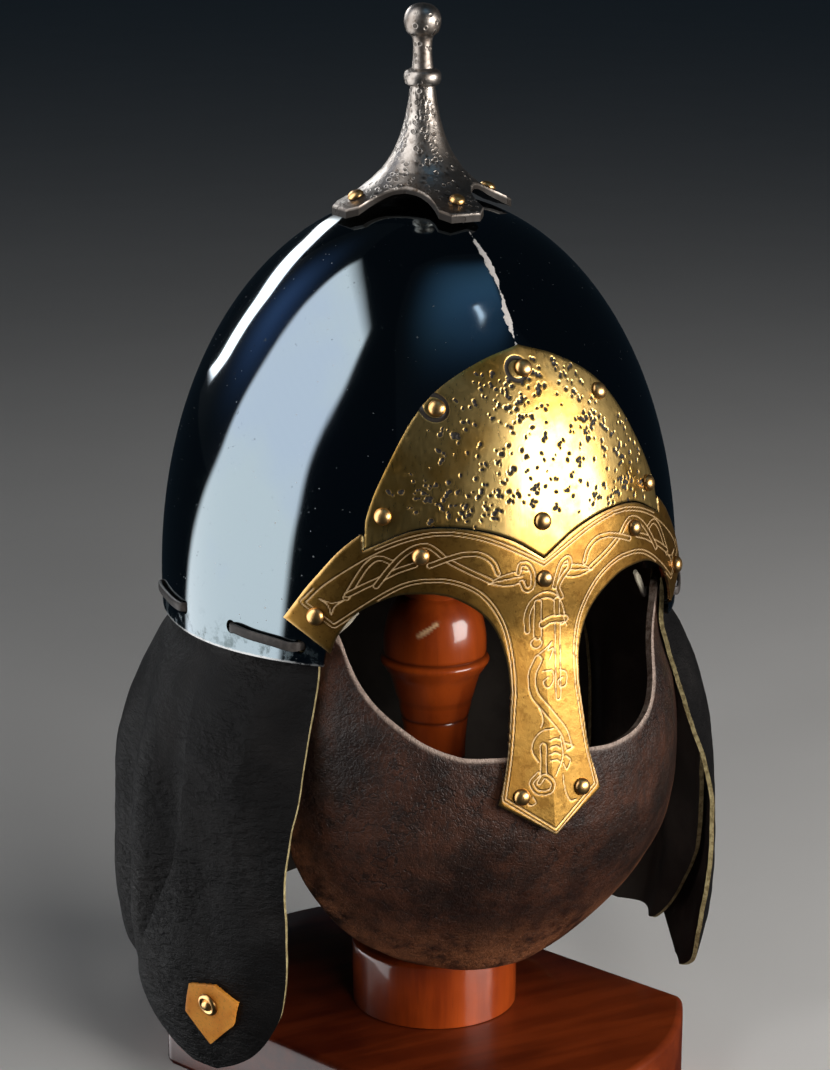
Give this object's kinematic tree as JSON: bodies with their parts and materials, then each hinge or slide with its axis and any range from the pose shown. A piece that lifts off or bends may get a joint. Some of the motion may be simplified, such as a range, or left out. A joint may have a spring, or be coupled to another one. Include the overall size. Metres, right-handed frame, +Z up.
{
  "type": "slavic helmet on wooden stand",
  "caption": "Blued steel helmet with spike finial, engraved brass brow and nasal, pitted forehead plate, brown leather face mask and black leather aventail, on a turned wooden stand.",
  "frame": {"origin": "middle of the base's underside, on the helmet's vertical axis", "axes": "+Z up through the finial, -Y to the front of the helmet, +X to the right as seen from the front"},
  "size_m": [0.2536, 0.2393, 0.4442],
  "materials": {
    "blued_steel": "mirror-polished, heat-blued, finely pitted",
    "pitted_steel": "bright, pitted, browned in the hollows",
    "bright_brass": "polished, with small etched pits on the plate",
    "engraved_brass": "patinated, engraved with interlace",
    "brown_leather": "thick, waxed, mottled",
    "black_leather": "thin, grained, raw pale edges",
    "ochre_leather": "smooth, natural",
    "varnished_wood": "gloss red-brown varnish"
  },
  "bodies": {
    "root": {"skull": "blued_steel", "finial": "pitted_steel", "forehead_plate": "bright_brass", "plate_rivet_top": "bright_brass", "plate_rivet_bottom": "bright_brass", "plate_rivet_upper_left": "bright_brass", "plate_rivet_upper_right": "bright_brass", "plate_rivet_lower_left": "bright_brass", "plate_rivet_lower_right": "bright_brass", "brow_rivet_centre": "bright_brass", "brow_rivet_mid_left": "bright_brass", "brow_rivet_mid_right": "bright_brass", "brow_rivet_end_left": "bright_brass", "brow_rivet_end_right": "bright_brass", "nasal_rivet_left": "bright_brass", "nasal_rivet_right": "bright_brass", "finial_rivet_front": "bright_brass", "finial_rivet_right": "bright_brass", "finial_rivet_back": "bright_brass", "finial_rivet_left": "bright_brass", "closure_stud": "bright_brass", "brow_nasal": "engraved_brass", "face_mask": "brown_leather", "lappet_left": "black_leather", "lappet_right": "black_leather", "side_panel_left": "black_leather", "side_panel_right": "black_leather", "back_panel": "black_leather", "lace": "black_leather", "closure_patch": "ochre_leather", "stand_post": "varnished_wood", "stand_base": "varnished_wood"}
  },
  "joints": []
}
